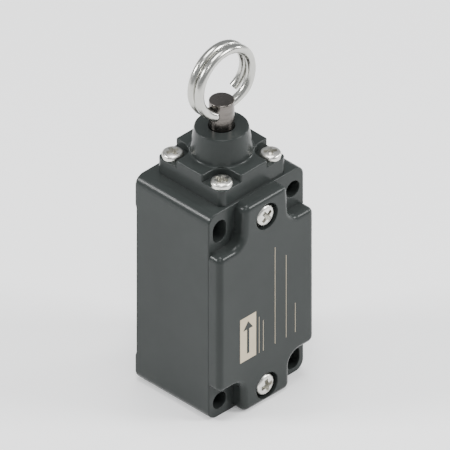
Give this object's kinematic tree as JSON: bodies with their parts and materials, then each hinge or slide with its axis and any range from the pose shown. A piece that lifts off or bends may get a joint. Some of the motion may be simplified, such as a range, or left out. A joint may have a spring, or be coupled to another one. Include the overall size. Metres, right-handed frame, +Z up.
{
  "type": "rope pull switch",
  "caption": "Rope pull switch in a die-cast housing, with a sprung pull plunger and split ring on a screwed head, and a double-break contact block inside.",
  "frame": {"origin": "on the plunger's and the cable entry's common axis, at the housing's bottom face", "axes": "+Z up along the plunger's axis, -Y towards the front cover, +X to the right of the cover"},
  "size_m": [0.039, 0.0351, 0.1157],
  "materials": {
    "cast_paint": "satin dark grey paint on die-cast metal",
    "screw_steel": "zinc plated",
    "plunger_steel": "turned stainless steel",
    "ring_nickel": "nickel plated wire",
    "spring_steel": "drawn wire",
    "seal_rubber": "black moulded rubber",
    "bush_bronze": "sintered bronze",
    "contact_brass": "stamped brass",
    "contact_copper": "stamped copper alloy",
    "block_cream": "moulded thermoset",
    "block_grey": "moulded thermoplastic"
  },
  "bodies": {
    "housing": {"housing": "cast_paint", "cover": "cast_paint", "cover_gasket": "seal_rubber", "cover_screws": "screw_steel", "head": "cast_paint", "head_gasket": "seal_rubber", "head_screws": "screw_steel", "spring_cup": "contact_brass", "guide_bush": "bush_bronze", "rod_seal": "seal_rubber", "block_base": "block_cream", "block_cap": "block_grey", "block_screws": "screw_steel", "no_contacts": "contact_brass", "nc_contacts": "contact_brass", "terminal_screws": "screw_steel", "terminal_clamps": "screw_steel", "earth_screw": "screw_steel", "earth_clamp": "screw_steel"},
    "slider": {"spring_seat": "spring_steel", "return_spring": "spring_steel"},
    "plunger": {"pull_plunger": "plunger_steel", "retaining_clip": "spring_steel"},
    "ring": {"split_ring": "ring_nickel"},
    "carriage": {"carriage": "block_cream", "carriage_spring": "spring_steel", "no_bridge": "contact_copper", "nc_bridge": "contact_copper", "bridge_springs": "spring_steel"}
  },
  "joints": [
    {"name": "plunger_slide", "type": "slide", "parent": "housing", "child": "slider", "axis": [0, 0, 1], "range_m": [0, 0.004], "stiffness_N_per_m": 1500, "springref_m": -0.012, "deforming": ["return_spring"]},
    {"name": "plunger_swivel", "type": "hinge", "parent": "slider", "child": "plunger", "pos_m": [0, 0, 0.08], "axis": [0, 0, 1], "continuous": true},
    {"name": "ring_swing", "type": "hinge", "parent": "plunger", "child": "ring", "pos_m": [0, 0, 0.0941], "axis": [1, 0, 0], "range_deg": [-115, 115]},
    {"name": "carriage_slide", "type": "slide", "parent": "housing", "child": "carriage", "axis": [0, 0, 1], "range_m": [0, 0.004], "deforming": ["carriage_spring"]}
  ],
  "couplings": [
    {"joint": "carriage_slide", "follows": "plunger_slide", "ratio": 1}
  ]
}
